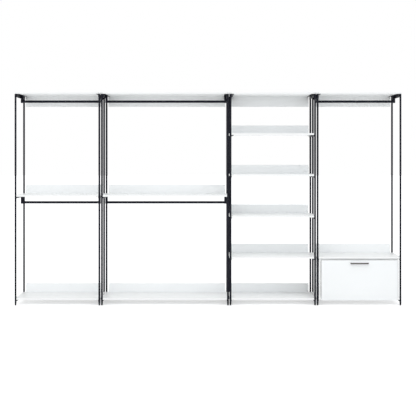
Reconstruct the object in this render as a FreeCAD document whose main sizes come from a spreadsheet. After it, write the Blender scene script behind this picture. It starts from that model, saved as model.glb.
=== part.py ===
import FreeCAD, Part
import math
import os
import Sketcher

os.makedirs("parts", exist_ok=True)
doc = FreeCAD.newDocument("freestanding_closet")

# Driving dimensions, in millimetres.
driving = {
    # the four bays and their levels
    "overall_height": 2134.0,
    "bottom_board_top": 74.0,
    "narrow_width": 838.0,
    "wide_width": 1260.0,
    "tower_width": 845.0,
    "drawer_bay_width": 828.0,
    "post_spacing": 438.0,
    "bay_clearance": 7.0,
    # round posts, with a push-in cap above and a push-in glide below
    "post_diameter": 19.0,
    "post_wall": 1.2,
    "cap_height": 5.0,
    "glide_height": 19.0,
    "glide_diameter": 17.0,
    "plug_depth": 16.0,
    "plug_gap": 0.2,
    # steel angles welded across each side frame
    "top_angle_leg": 35.0,
    "shelf_angle_leg": 15.0,
    "angle_flange": 25.0,
    "angle_thickness": 2.0,
    "angle_overrun": 5.0,
    # boards and the lips at their backs
    "board_thickness": 18.0,
    "notch_gap": 0.5,
    "lip_height": 108.0,
    "lip_thickness": 16.0,
    "lip_end_gap": 10.0,
    "lip_notch_gap": 1.0,
    # hanging rods and the straps that carry them
    "rod_diameter": 25.0,
    "rod_wall": 1.2,
    "rod_drop": 66.0,
    "rod_end_gap": 3.0,
    "strap_width": 22.0,
    "strap_thickness": 2.0,
    "strap_gap": 0.5,
    "strap_foot": 16.0,
    # case and box of the drawer
    "case_side_thickness": 16.0,
    "case_side_gap": 4.5,
    "case_back_gap": 2.0,
    "case_back_thickness": 3.0,
    "case_rail_width": 60.0,
    "case_rail_setback": 15.0,
    "front_thickness": 16.0,
    "front_gap": 2.0,
    "front_side_gap": 4.0,
    "front_top_gap": 14.0,
    "front_drop": 20.0,
    "box_board": 12.0,
    "box_height": 300.0,
    "box_overhang": 4.0,
    "box_floor_gap": 14.0,
    "box_bottom": 5.0,
    "box_groove_depth": 6.0,
    "box_groove_height": 12.0,
    "groove_gap": 0.2,
    # telescopic runners
    "runner_back_gap": 35.0,
    "runner_height": 45.0,
    "runner_thickness": 12.7,
    "runner_setback": 4.0,
    "runner_sheet": 1.2,
    "runner_race": 3.6,
    "runner_web_gap": 0.8,
    "runner_lap": 3.0,
    "running_gap": 0.3,
    "cage_width": 4.0,
    "runner_hold": 20.0,
    # bar handle
    "handle_length": 180.0,
    "handle_projection": 28.0,
    "handle_height": 12.0,
    "handle_thickness": 8.0,
    "handle_bend": 12.0,
    "handle_below_edge": 30.0,
}

sheet = doc.addObject("Spreadsheet::Sheet", "dims")
for row, (alias, number) in enumerate(driving.items(), 1):
    sheet.set("A%d" % row, alias)
    sheet.set("B%d" % row, str(number))
    sheet.setAlias("B%d" % row, alias)
doc.recompute()
size = {alias: float(sheet.get(alias)) for alias in driving}

# Levels are shares of the height between the bottom and the top board.
tower_bays = 5
low_shelf_share = 1 / tower_bays
bays = {
    "narrow": (("bottom_board", 0), ("middle_board", 1 / 2), ("top_board", 1)),
    "wide": (("bottom_board", 0), ("middle_board", 1 / 2), ("top_board", 1)),
    "tower": tuple(
        (
            "bottom_board" if level == 0 else "top_board" if level == tower_bays else "shelf_%d" % level,
            level / tower_bays,
        )
        for level in range(tower_bays + 1)
    ),
    "drawer_bay": (("bottom_board", 0), ("low_shelf", low_shelf_share), ("top_board", 1)),
}
rods = {
    "narrow": ("middle_board", "top_board"),
    "wide": ("middle_board", "top_board"),
    "drawer_bay": ("top_board",),
}

# Places that several pieces share.
post_radius = size["post_diameter"] / 2
drawer_reach = size["front_gap"] + size["front_thickness"] + size["handle_projection"]
frame_depth = size["post_spacing"] + size["post_diameter"]
back_face = (frame_depth + drawer_reach) / 2
front_face = back_face - frame_depth
rear_post_y = back_face - post_radius
front_post_y = front_face + post_radius
middle_y = (rear_post_y + front_post_y) / 2
lip_front = back_face - size["lip_thickness"]

bay_pitch = size["post_diameter"] + size["bay_clearance"]
row_length = sum(size[bay + "_width"] for bay in bays) + bay_pitch * (len(bays) - 1)
bay_centre = {}
reached = -row_length / 2
for bay in bays:
    bay_centre[bay] = reached + size[bay + "_width"] / 2
    reached += size[bay + "_width"] + bay_pitch


def board_top(share):
    rise = size["overall_height"] - size["bottom_board_top"]
    return size["bottom_board_top"] + share * rise


def board_underside(share):
    return board_top(share) - size["board_thickness"]


def point(across, along, up=0.0):
    return FreeCAD.Vector(across, along, up)


def new_body(label):
    body = doc.addObject("PartDesign::Body", label)
    body.Label = label
    return body


def new_sketch(body, role, name):
    sketch = body.newObject("Sketcher::SketchObject", name)
    plane = [feature for feature in body.Origin.OriginFeatures if feature.Role == role][0]
    sketch.AttachmentSupport = (plane, [""])
    sketch.MapMode = "FlatFace"
    return sketch


def polyline(corners):
    """Straight edges through the corners, closed back to the first."""
    ends = corners[1:] + corners[:1]
    return [Part.LineSegment(start, end) for start, end in zip(corners, ends)]


def rectangle(sketch, left, low, wide, high):
    """A rectangle; its width and height are each a number and the expression that it follows, or None."""
    (wide_value, wide_text), (high_value, high_text) = wide, high
    right = left + wide_value
    top = low + high_value
    corners = [point(left, low), point(right, low), point(right, top), point(left, top)]
    first = sketch.GeometryCount
    sketch.addGeometry(polyline(corners), False)
    for side in range(len(corners)):
        following = first + (side + 1) % len(corners)
        sketch.addConstraint(Sketcher.Constraint("Coincident", first + side, 2, following, 1))
        direction = "Vertical" if side % 2 else "Horizontal"
        sketch.addConstraint(Sketcher.Constraint(direction, first + side))
    across = Sketcher.Constraint("DistanceX", first, 1, first, 2, wide_value)
    upwards = Sketcher.Constraint("DistanceY", first + 1, 1, first + 1, 2, high_value)
    for constraint, text in ((across, wide_text), (upwards, high_text)):
        sketch.addConstraint(constraint)
        if text:
            sketch.setExpression("Constraints[%d]" % (sketch.ConstraintCount - 1), text)


def circle(sketch, across, along, diameter, text):
    place = point(across, along)
    axis = FreeCAD.Vector(0, 0, 1)
    index = sketch.addGeometry(Part.Circle(place, axis, diameter / 2), False)
    sketch.addConstraint(Sketcher.Constraint("Diameter", index, diameter))
    sketch.setExpression("Constraints[%d]" % (sketch.ConstraintCount - 1), text)


def give(item, name, value):
    """Sets a size of the item to a number, or binds it to an expression of the sheet."""
    if isinstance(value, str):
        item.setExpression(name, value)
    else:
        setattr(item, name, value)


def pad(body, sketch, length, reverse=False):
    feature = body.newObject("PartDesign::Pad", sketch.Name + "_pad")
    feature.Profile = sketch
    feature.Reversed = reverse
    give(feature, "Length", length)
    body.Tip = feature
    return feature


def pocket(body, sketch, depth, reverse=False):
    """Cuts the sketch into the body and makes sure that it took material away."""
    doc.recompute()
    before = body.Shape.Volume
    feature = body.newObject("PartDesign::Pocket", sketch.Name + "_pocket")
    feature.Profile = sketch
    feature.Reversed = reverse
    feature.setExpression("Length", depth)
    body.Tip = feature
    doc.recompute()
    if not body.Shape.Volume < before:
        raise ValueError("%s cuts nothing" % feature.Name)
    return feature


def tube(label, role, diameter, wall, length):
    """A drawn tube; diameter and wall are aliases, length is an expression."""
    body = new_body(label)
    sketch = new_sketch(body, role, label + "_section")
    bore = size[diameter] - 2 * size[wall]
    circle(sketch, 0, 0, size[diameter], "dims." + diameter)
    circle(sketch, 0, 0, bore, "dims.%s - 2 * dims.%s" % (diameter, wall))
    pad(body, sketch, length)
    return body


def panel(label, length, width, height, across, along, up):
    """A plain board: three sizes, each a number or an expression, and the place of its low corner."""
    box = doc.addObject("Part::Box", label)
    box.Label = label
    give(box, "Length", length)
    give(box, "Width", width)
    give(box, "Height", height)
    box.Placement.Base = point(across, along, up)
    return box


nodes = {}


def keep(piece):
    nodes[piece.Label] = piece
    return piece


def placed(shape, across, along, up, turn=0.0):
    """A copy of the shape, turned about the upright axis and then moved."""
    copy = shape.copy()
    spin = FreeCAD.Rotation(FreeCAD.Vector(0, 0, 1), turn)
    copy.Placement = FreeCAD.Placement(point(across, along, up), spin)
    return copy


def mirrored(shape, across):
    return shape.mirror(point(across, 0), FreeCAD.Vector(1, 0, 0))


def group(label, shapes):
    """Like pieces, or the members of one weldment, as separate solids of one node."""
    piece = doc.addObject("Part::Feature", label)
    piece.Label = label
    piece.Shape = Part.makeCompound(shapes)
    return keep(piece)


# Side frames: two round posts with a steel angle welded across them under each board.
tube_length = "dims.overall_height - dims.board_thickness - dims.cap_height - dims.glide_height"
post = tube("post", "XY_Plane", "post_diameter", "post_wall", tube_length)


def angle(label, leg, for_lip):
    """Bent angle: its leg hangs from the flange that the board rests on, both towards the bay."""
    body = new_body(label)
    sketch = new_sketch(body, "XZ_Plane", label + "_section")
    flange = size["angle_flange"]
    sheet_thickness = size["angle_thickness"]
    corners = [
        point(0, 0),
        point(flange, 0),
        point(flange, -sheet_thickness),
        point(sheet_thickness, -sheet_thickness),
        point(sheet_thickness, -size[leg]),
        point(0, -size[leg]),
    ]
    sketch.addGeometry(polyline(corners), False)
    pad(body, sketch, "dims.post_spacing + 2 * dims.angle_overrun", reverse=True)
    if for_lip:
        # the flange stops short of the lip that hangs between the rear posts
        notch = new_sketch(body, "XY_Plane", label + "_lip_notch")
        start = lip_front - size["lip_notch_gap"] - front_post_y + size["angle_overrun"]
        length = size["post_spacing"] + 2 * size["angle_overrun"] - start
        rectangle(
            notch,
            sheet_thickness,
            start,
            (flange - sheet_thickness, "dims.angle_flange - dims.angle_thickness"),
            (length, None),
        )
        pocket(body, notch, "dims.angle_thickness")
    return body


top_angle = angle("top_angle", "top_angle_leg", for_lip=True)
shelf_angle = angle("shelf_angle", "shelf_angle_leg", for_lip=False)
doc.recompute()


def side_frame(bay, side):
    hand = {"left": -1, "right": 1}[side]
    centre = bay_centre[bay]
    post_x = centre + hand * size[bay + "_width"] / 2
    members = [
        placed(post.Shape, post_x, front_post_y, size["glide_height"]),
        placed(post.Shape, post_x, rear_post_y, size["glide_height"]),
    ]
    for name, share in bays[bay]:
        member = top_angle if share == 1 else shelf_angle
        inner_x = centre - size[bay + "_width"] / 2 + post_radius
        start_y = front_post_y - size["angle_overrun"]
        shape = placed(member.Shape, inner_x, start_y, board_underside(share))
        if side == "right":
            shape = mirrored(shape, centre)
        members.append(shape)
    return group("%s_%s_frame" % (bay, side), members)


for bay in bays:
    side_frame(bay, "left")
    side_frame(bay, "right")


# Post caps and floor glides: round plastic heads on square plugs pushed into the tube ends.
def plugged(label, radius, height, plug_low):
    """A round head, its radius and height as expressions, with a square plug for the bore of a post."""
    head = doc.addObject("Part::Cylinder", label + "_head")
    head.setExpression("Radius", radius)
    head.setExpression("Height", height)
    side = math.sqrt(2) * (post_radius - size["post_wall"] - size["plug_gap"])
    plug = doc.addObject("Part::Box", label + "_plug")
    plug.Length = side
    plug.Width = side
    plug.setExpression("Height", "dims.plug_depth")
    plug.Placement.Base = point(-side / 2, -side / 2, plug_low)
    piece = doc.addObject("Part::Fuse", label)
    piece.Base = head
    piece.Tool = plug
    return piece


cap = plugged("post_cap", "dims.post_diameter / 2", "dims.cap_height", -size["plug_depth"])
glide = plugged(
    "floor_glide",
    "dims.glide_diameter / 2",
    "dims.glide_height",
    size["glide_height"],
)
doc.recompute()
post_places = [
    (bay_centre[bay] + hand * size[bay + "_width"] / 2, along)
    for bay in bays
    for hand in (-1, 1)
    for along in (front_post_y, rear_post_y)
]
tube_top = board_underside(1) - size["cap_height"]
group("post_caps", [placed(cap.Shape, across, along, tube_top) for across, along in post_places])
group("floor_glides", [placed(glide.Shape, across, along, 0) for across, along in post_places])


# Boards: melamine-faced, with each corner let in round a post.
def board_corners(half_width, rear_edge):
    """Right half of the outline; each notch follows an octagon drawn round the post."""
    notch = post_radius + size["notch_gap"]
    diagonal = notch * math.sqrt(2)
    flat = diagonal - notch
    inner = half_width - notch
    outer = half_width + post_radius
    corners = [
        point(inner, front_face),
        point(inner, front_post_y + flat),
        point(half_width - flat, front_post_y + notch),
        point(outer, front_post_y + notch),
        point(outer, rear_post_y - notch),
        point(half_width - flat, rear_post_y - notch),
    ]
    short = rear_post_y - rear_edge
    if short > flat:
        # a board with a lip behind it ends on the mitre of the rear notch
        corners.append(point(half_width - diagonal + short, rear_edge))
    else:
        corners += [point(inner, rear_post_y - flat), point(inner, rear_edge)]
    return corners


def board(bay, name, share):
    body = new_body("%s_%s" % (bay, name))
    sketch = new_sketch(body, "XY_Plane", body.Name + "_outline")
    rear_edge = back_face if share == 1 else lip_front
    right = board_corners(size[bay + "_width"] / 2, rear_edge)
    left = [point(-corner.x, corner.y) for corner in reversed(right)]
    sketch.addGeometry(polyline(right + left), False)
    pad(body, sketch, "dims.board_thickness")
    body.Placement.Base = point(bay_centre[bay], 0, board_underside(share))
    return keep(body)


def back_lips(bay):
    """One lip for each board: behind it and flush below, or hung under it at the top."""
    length = size[bay + "_width"] - size["post_diameter"] - 2 * size["lip_end_gap"]
    lips = []
    for name, share in bays[bay]:
        low = board_underside(share)
        if share == 1:
            low -= size["lip_height"]
        lip = Part.makeBox(length, size["lip_thickness"], size["lip_height"])
        lips.append(placed(lip, bay_centre[bay] - length / 2, lip_front, low))
    return group(bay + "_back_lips", lips)


for bay in bays:
    for name, share in bays[bay]:
        board(bay, name, share)
    back_lips(bay)


# Hanging rods and the bent steel straps that hold them under the boards.
def strap():
    """Strap folded round the rod, with a foot turned out at the top of each leg."""
    body = new_body("rod_strap")
    sketch = new_sketch(body, "YZ_Plane", "rod_strap_section")
    inner = size["rod_diameter"] / 2
    thickness = size["strap_thickness"]
    outer = inner + thickness
    top = size["rod_drop"] - size["angle_thickness"]
    foot = outer + size["strap_foot"]
    corners = [
        point(-outer, -outer),
        point(outer, -outer),
        point(outer, top - thickness),
        point(foot, top - thickness),
        point(foot, top),
        point(inner, top),
        point(inner, -inner),
        point(-inner, -inner),
        point(-inner, top),
        point(-foot, top),
        point(-foot, top - thickness),
        point(-outer, top - thickness),
    ]
    sketch.addGeometry(polyline(corners), False)
    pad(body, sketch, "dims.strap_width")
    return body


rod_strap = strap()
doc.recompute()
straps = []
for bay, carriers in rods.items():
    levels = dict(bays[bay])
    for carrier in carriers:
        rod_z = board_underside(levels[carrier]) - size["rod_drop"]
        label = "%s_%s_rod" % (bay, carrier.replace("_board", ""))
        length = "dims.%s_width - dims.post_diameter - 2 * dims.rod_end_gap" % bay
        rod = tube(label, "YZ_Plane", "rod_diameter", "rod_wall", length)
        start = bay_centre[bay] - size[bay + "_width"] / 2 + post_radius
        rod.Placement.Base = point(start + size["rod_end_gap"], middle_y, rod_z)
        keep(rod)
        strap_x = start + size["angle_thickness"] + size["strap_gap"]
        hanger = placed(rod_strap.Shape, strap_x, middle_y, rod_z)
        straps += [hanger, mirrored(hanger, bay_centre[bay])]
group("rod_straps", straps)


# Case of the drawer: two boards that stand on the bottom board under the low shelf, with a rail
# laid flat between their tops in front and a hardboard back between their rear edges.
case_centre = bay_centre["drawer_bay"]
case_outer = size["drawer_bay_width"] / 2 - post_radius - size["case_side_gap"]
case_inner = case_outer - size["case_side_thickness"]
case_floor = size["bottom_board_top"]
case_ceiling = board_underside(low_shelf_share)
case_depth = lip_front - size["case_back_gap"] - front_face
case_height = case_ceiling - size["angle_thickness"] - case_floor
runner_length = case_depth - size["runner_setback"] - size["runner_back_gap"]
drawer_travel = runner_length - size["runner_hold"]
box_depth = size["front_gap"] + size["runner_setback"] + runner_length + size["box_overhang"]
for side, low_x in (("left", case_centre - case_outer), ("right", case_centre + case_inner)):
    case_side = panel(
        "drawer_case_%s_side" % side,
        "dims.case_side_thickness",
        case_depth,
        case_height,
        low_x,
        front_face,
        case_floor,
    )
    keep(case_side)
keep(
    panel(
        "drawer_case_rail",
        2 * case_inner,
        "dims.case_rail_width",
        "dims.case_side_thickness",
        case_centre - case_inner,
        front_face + size["case_rail_setback"],
        case_floor + case_height - size["case_side_thickness"],
    )
)
keep(
    panel(
        "drawer_case_back",
        2 * case_inner,
        "dims.case_back_thickness",
        case_height,
        case_centre - case_inner,
        front_face + case_depth - size["case_back_thickness"],
        case_floor,
    )
)


# Drawer box, front and handle.
front_half = case_inner - size["front_side_gap"]
front_low = case_floor - size["front_drop"]
front_high = case_ceiling - size["front_top_gap"]
front_back_face = front_face - size["front_gap"]
box_half = case_inner - size["runner_thickness"]
box_low = case_floor + size["box_floor_gap"]
handle_z = front_high - size["handle_below_edge"]


def drawer_side(label, hand):
    """Box side with the groove that holds the bottom panel, open towards the inside."""
    outer = doc.addObject("Part::Box", label + "_blank")
    outer.setExpression("Length", "dims.box_board")
    outer.Width = box_depth
    outer.setExpression("Height", "dims.box_height")
    groove = doc.addObject("Part::Box", label + "_groove")
    groove.setExpression("Length", "dims.box_groove_depth")
    groove.Width = box_depth
    groove.setExpression("Height", "dims.box_bottom + 2 * dims.groove_gap")
    shift = 0 if hand > 0 else size["box_board"] - size["box_groove_depth"]
    low = size["box_groove_height"] - size["groove_gap"]
    groove.Placement.Base = point(shift, 0, low)
    side = doc.addObject("Part::Cut", label)
    side.Label = label
    side.Base = outer
    side.Tool = groove
    low_x = box_half - size["box_board"] if hand > 0 else -box_half
    side.Placement.Base = point(case_centre + low_x, front_back_face, box_low)
    return keep(side)


keep(
    panel(
        "drawer_front",
        2 * front_half,
        "dims.front_thickness",
        front_high - front_low,
        case_centre - front_half,
        front_back_face - size["front_thickness"],
        front_low,
    )
)
drawer_side("drawer_left_side", -1)
drawer_side("drawer_right_side", 1)
inside_width = 2 * (box_half - size["box_board"])
back_low = box_low + size["box_groove_height"] + size["box_bottom"] + size["groove_gap"]
keep(
    panel(
        "drawer_back",
        inside_width,
        "dims.box_board",
        box_low + size["box_height"] - back_low,
        case_centre - inside_width / 2,
        front_back_face + box_depth - size["box_board"],
        back_low,
    )
)
bottom_width = inside_width + 2 * (size["box_groove_depth"] - size["groove_gap"])
keep(
    panel(
        "drawer_bottom",
        bottom_width,
        box_depth,
        "dims.box_bottom",
        case_centre - bottom_width / 2,
        front_back_face,
        box_low + size["box_groove_height"],
    )
)


def drawer_handle():
    """Flat bar bent to a bow, with its two legs standing on the drawer front."""
    body = new_body("drawer_handle")
    thickness = size["handle_thickness"]
    reach = size["handle_projection"] - thickness / 2
    half = (size["handle_length"] - thickness) / 2
    bend = size["handle_bend"]
    inset = bend - bend * math.sqrt(1 / 2)
    spine = new_sketch(body, "XY_Plane", "handle_spine")
    edges = [
        Part.LineSegment(point(-half, 0), point(-half, bend - reach)),
        Part.Arc(point(-half, bend - reach), point(inset - half, inset - reach), point(bend - half, -reach)),
        Part.LineSegment(point(bend - half, -reach), point(half - bend, -reach)),
        Part.Arc(point(half - bend, -reach), point(half - inset, inset - reach), point(half, bend - reach)),
        Part.LineSegment(point(half, bend - reach), point(half, 0)),
    ]
    spine.addGeometry(edges, False)
    section = new_sketch(body, "XZ_Plane", "handle_section")
    rectangle(
        section,
        -half - thickness / 2,
        -size["handle_height"] / 2,
        (thickness, "dims.handle_thickness"),
        (size["handle_height"], "dims.handle_height"),
    )
    doc.recompute()
    pipe = body.newObject("PartDesign::AdditivePipe", "handle_bar")
    pipe.Profile = section
    pipe.Spine = (spine, ["Edge%d" % number for number in range(1, len(edges) + 1)])
    pipe.Mode = "Standard"
    pipe.Transition = "Transformed"
    body.Tip = pipe
    front_outer = front_back_face - size["front_thickness"]
    body.Placement.Base = point(case_centre, front_outer, handle_z)
    return keep(body)


drawer_handle()


# Telescopic runners: three nested channels a side, with ball cages between them.
def channel(label, web_from, web_to, flange_from, flange_to, half_height):
    """Channel section of a runner member; places are measured from the case side."""
    sheet_metal = size["runner_sheet"]
    body = new_body(label)
    sketch = new_sketch(body, "XZ_Plane", label + "_section")
    inside = half_height - sheet_metal
    if flange_to > web_to:
        corners = [
            point(web_from, -half_height),
            point(flange_to, -half_height),
            point(flange_to, -inside),
            point(web_to, -inside),
            point(web_to, inside),
            point(flange_to, inside),
            point(flange_to, half_height),
            point(web_from, half_height),
        ]
    else:
        corners = [
            point(web_to, -half_height),
            point(flange_from, -half_height),
            point(flange_from, -inside),
            point(web_from, -inside),
            point(web_from, inside),
            point(flange_from, inside),
            point(flange_from, half_height),
            point(web_to, half_height),
        ]
    sketch.addGeometry(polyline(corners), False)
    pad(body, sketch, runner_length, reverse=True)
    return body


metal = size["runner_sheet"]
depth = size["runner_thickness"]
outer_half = size["runner_height"] / 2
middle_half = outer_half - metal - size["runner_race"]
inner_half = middle_half - metal - size["runner_race"]
middle_web = metal + size["runner_web_gap"]
flange_end = depth - metal - size["runner_web_gap"]
cabinet_member = channel("cabinet_member", 0, metal, 0, flange_end - metal, outer_half)
middle_member = channel("middle_member", middle_web, middle_web + metal, middle_web, flange_end, middle_half)
inner_start = middle_web + metal + size["runner_web_gap"]
drawer_member = channel("drawer_member", depth - metal, depth, inner_start, depth - metal, inner_half)


def ball_cage(label):
    """Strip that keeps a row of balls between two races."""
    body = new_body(label)
    sketch = new_sketch(body, "XZ_Plane", label + "_section")
    thick = size["runner_race"] - 2 * size["running_gap"]
    rectangle(
        sketch,
        -size["cage_width"] / 2,
        -thick / 2,
        (size["cage_width"], "dims.cage_width"),
        (thick, "dims.runner_race - 2 * dims.running_gap"),
    )
    pad(body, sketch, runner_length - drawer_travel / 2 - 2 * size["runner_lap"], reverse=True)
    return body


cage = ball_cage("ball_cage")
doc.recompute()
runner_y = front_face + size["runner_setback"]
runner_z = box_low + size["box_height"] / 2
cage_y = runner_y + drawer_travel / 4 + size["runner_lap"]


def pair(label, shapes):
    """Pieces drawn from the left case side, and the same from the right one."""
    left = [placed(shape, case_centre - case_inner + across, along, up) for shape, across, along, up in shapes]
    group(label, left + [mirrored(shape, case_centre) for shape in left])


pair("runner_cabinet_members", [(cabinet_member.Shape, 0, runner_y, runner_z)])
pair("runner_middle_members", [(middle_member.Shape, 0, runner_y, runner_z)])
pair("runner_drawer_members", [(drawer_member.Shape, 0, runner_y, runner_z)])
cage_x = (middle_web + flange_end) / 2
for label, half in (("runner_outer_ball_cages", middle_half), ("runner_inner_ball_cages", inner_half)):
    offset = half + size["runner_race"] / 2
    cages = [(cage.Shape, cage_x, cage_y, runner_z + offset), (cage.Shape, cage_x, cage_y, runner_z - offset)]
    pair(label, cages)

doc.recompute()
for item in doc.Objects:
    if "Invalid" in item.State or "Error" in item.State:
        raise ValueError("%s did not build" % item.Label)
for label, piece in nodes.items():
    if piece.Shape.isNull() or not piece.Shape.isValid():
        raise ValueError("%s is not a sound solid" % label)
    piece.Shape.exportStep("parts/%s.step" % label)
whole = Part.makeCompound([piece.Shape for piece in nodes.values()]).BoundBox
print("%d nodes, %.1f x %.1f x %.1f mm" % (len(nodes), whole.XLength, whole.YLength, whole.ZLength))
print("centre %.2f %.2f, foot %.2f" % (whole.Center.x, whole.Center.y, whole.ZMin))
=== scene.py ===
import math

import bmesh
import bpy
from mathutils import Matrix, Vector


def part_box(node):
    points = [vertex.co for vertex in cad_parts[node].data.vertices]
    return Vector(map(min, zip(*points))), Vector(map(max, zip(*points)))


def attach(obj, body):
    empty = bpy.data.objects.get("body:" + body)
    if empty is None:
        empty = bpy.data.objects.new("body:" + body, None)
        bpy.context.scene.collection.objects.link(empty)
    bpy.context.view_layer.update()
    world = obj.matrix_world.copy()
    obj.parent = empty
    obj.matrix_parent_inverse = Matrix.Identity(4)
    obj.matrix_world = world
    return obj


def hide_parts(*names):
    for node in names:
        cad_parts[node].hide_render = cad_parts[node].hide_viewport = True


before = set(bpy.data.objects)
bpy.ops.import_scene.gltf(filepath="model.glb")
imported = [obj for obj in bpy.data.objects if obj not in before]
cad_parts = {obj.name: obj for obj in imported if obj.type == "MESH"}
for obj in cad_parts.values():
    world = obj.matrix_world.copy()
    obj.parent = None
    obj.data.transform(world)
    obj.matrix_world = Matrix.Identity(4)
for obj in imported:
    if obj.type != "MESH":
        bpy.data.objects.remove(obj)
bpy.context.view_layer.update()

# Side frames: each is two drawn steel tubes with bent steel angles welded across them, one under
# every board. The whole frame is blasted and powder-coated black after welding.
mm = 0.001
post_radius = 9.5 * mm
levels = {
    "narrow": ("bottom_board", "middle_board", "top_board"),
    "wide": ("bottom_board", "middle_board", "top_board"),
    "tower": ("bottom_board", "shelf_1", "shelf_2", "shelf_3", "shelf_4", "top_board"),
    "drawer_bay": ("bottom_board", "low_shelf", "top_board"),
}
frame_low, frame_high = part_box("narrow_left_frame")
front_post_y = frame_low.y + post_radius
rear_post_y = frame_high.y - post_radius
post_x = {
    bay: (
        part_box(bay + "_left_frame")[0].x + post_radius,
        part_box(bay + "_right_frame")[1].x - post_radius,
    )
    for bay in levels
}


def linear(code):
    """An sRGB hex colour as the linear colour that a shader takes."""
    parts = [int(code[place:place + 2], 16) / 255 for place in (1, 3, 5)]
    return [
        part / 12.92 if part <= 0.04045 else ((part + 0.055) / 1.055) ** 2.4 for part in parts
    ] + [1.0]


def add_node(tree, kind, settings=(), values=(), links=()):
    """One shader node with its settings, the values of its inputs and what is linked to them."""
    node = tree.nodes.new("ShaderNode" + kind)
    for name, value in dict(settings).items():
        setattr(node, name, value)
    for name, value in dict(values).items():
        node.inputs[name].default_value = value
    for name, socket in dict(links).items():
        tree.links.new(socket, node.inputs[name])
    return node


def blank_material(name):
    """A new material and its empty node tree."""
    material = bpy.data.materials.new(name)
    material.use_nodes = True
    material.node_tree.nodes.clear()
    return material, material.node_tree


def dress(node_names, material):
    """Gives the finish to CAD nodes whose shape stays."""
    for name in node_names:
        for material_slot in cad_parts[name].material_slots:
            material_slot.material = material


# Polyester powder coat, baked on: satin black with a trace of blue, and a fine orange peel that
# breaks up highlights. The real peel is about 1 mm across and is drawn at 2.5 mm, so that it shows.
# Tone and gloss drift a little over 110 mm.
powder_coat, tree = blank_material("black_powder_coat")
place = add_node(tree, "TexCoord").outputs["Object"]
peel = add_node(
    tree,
    "TexNoise",
    values={"Scale": 1 / (2.5 * mm), "Detail": 2.0, "Roughness": 0.4},
    links={"Vector": place},
)
peel_bump = add_node(
    tree,
    "Bump",
    values={"Strength": 0.35, "Distance": 0.06 * mm},
    links={"Height": peel.outputs["Fac"]},
)
film = add_node(
    tree, "TexNoise", values={"Scale": 9.0, "Detail": 3.0}, links={"Vector": place}
)
film_colour = add_node(
    tree,
    "Mix",
    {"data_type": "RGBA"},
    {6: linear("#111118"), 7: linear("#16161E")},
    {0: film.outputs["Fac"]},
)
film_gloss = add_node(
    tree,
    "MapRange",
    values={"From Min": 0.3, "From Max": 0.7, "To Min": 0.44, "To Max": 0.52},
    links={"Value": film.outputs["Fac"]},
)
coat_shader = add_node(
    tree,
    "BsdfPrincipled",
    values={"IOR": 1.45, "Specular IOR Level": 0.22, "Specular Tint": linear("#E4E8FF")},
    links={
        "Base Color": film_colour.outputs[2],
        "Roughness": film_gloss.outputs["Result"],
        "Normal": peel_bump.outputs["Normal"],
    },
)
add_node(tree, "OutputMaterial", links={"Surface": coat_shader.outputs["BSDF"]})
dress([bay + side for bay in levels for side in ("_left_frame", "_right_frame")], powder_coat)


# Weld beads: short fillet welds in the grooves between each post and the flat leg of each angle,
# laid from top to bottom on both sides of the line where they touch, and coated with the frame.
bead_radius = 1.7 * mm
bead_ripple = 0.3 * mm
bead_pitch = 1.4 * mm
bead_spread = 4 * mm
bead_sink = 0.4 * mm
bead_end = 0.5 * bead_radius
angle_sheet = 2.0 * mm
top_leg = 35 * mm
other_leg = 15 * mm


def turned(profile, segments):
    """A closed mesh turned about the upright axis from (radius, height) pairs, lowest first."""
    shape = bmesh.new()
    turns = [math.tau * step / segments for step in range(segments)]
    rings = [
        [
            shape.verts.new((radius * math.cos(turn), radius * math.sin(turn), height))
            for turn in turns
        ]
        for radius, height in profile
    ]
    for lower, upper in zip(rings, rings[1:]):
        for step in range(segments):
            following = (step + 1) % segments
            shape.faces.new((lower[step], lower[following], upper[following], upper[step]))
    shape.faces.new(rings[0][::-1])
    shape.faces.new(rings[-1])
    return shape


def repeated(shape, places):
    """Copies of the shape at each place: a vector, or a matrix where it is turned as well."""
    pattern = bpy.data.meshes.new("pattern")
    shape.to_mesh(pattern)
    shape.free()
    whole = bmesh.new()
    for spot in places:
        start = len(whole.verts)
        whole.from_mesh(pattern)
        whole.verts.ensure_lookup_table()
        matrix = spot if isinstance(spot, Matrix) else Matrix.Translation(spot)
        bmesh.ops.transform(whole, matrix=matrix, verts=whole.verts[start:])
    bpy.data.meshes.remove(pattern)
    return whole


def joined(shapes):
    """Several shapes in one."""
    whole = bmesh.new()
    for shape in shapes:
        part = bpy.data.meshes.new("part")
        shape.to_mesh(part)
        shape.free()
        whole.from_mesh(part)
        bpy.data.meshes.remove(part)
    return whole


def new_piece(name, shape, material, body, stands_for=()):
    """Makes the shape an object that rides on a body and takes the given finish."""
    bmesh.ops.recalc_face_normals(shape, faces=shape.faces)
    mesh = bpy.data.meshes.new(name)
    shape.to_mesh(mesh)
    shape.free()
    mesh.shade_smooth()
    mesh.set_sharp_from_angle(angle=math.radians(35))
    mesh.materials.append(material)
    piece = bpy.data.objects.new(name, mesh)
    bpy.context.scene.collection.objects.link(piece)
    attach(piece, body)
    if stands_for:
        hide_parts(*stands_for)
    return piece


def bead(length):
    """One rippled bead, its top at zero."""
    halves = 2 * round(length / bead_pitch)
    profile = [(bead_end, -length)]
    for step in range(1, halves):
        swell = bead_ripple if step % 2 else -bead_ripple
        profile.append((bead_radius + swell, -length + step * length / halves))
    return turned(profile + [(bead_end, 0)], segments=8)


for bay, boards in levels.items():
    beads = []
    for level in boards:
        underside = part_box("%s_%s" % (bay, level))[0].z
        length = (top_leg if level == "top_board" else other_leg) - angle_sheet
        spots = [
            (across - inward * bead_sink, along + step * bead_spread, underside - angle_sheet)
            for across, inward in (
                (post_x[bay][0] + post_radius, 1),
                (post_x[bay][1] - post_radius, -1),
            )
            for along in (front_post_y, rear_post_y)
            for step in (-1, 1)
        ]
        beads.append(repeated(bead(length), [Vector(spot) for spot in spots]))
    new_piece(bay + "_weld_beads", joined(beads), powder_coat, "root")


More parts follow.
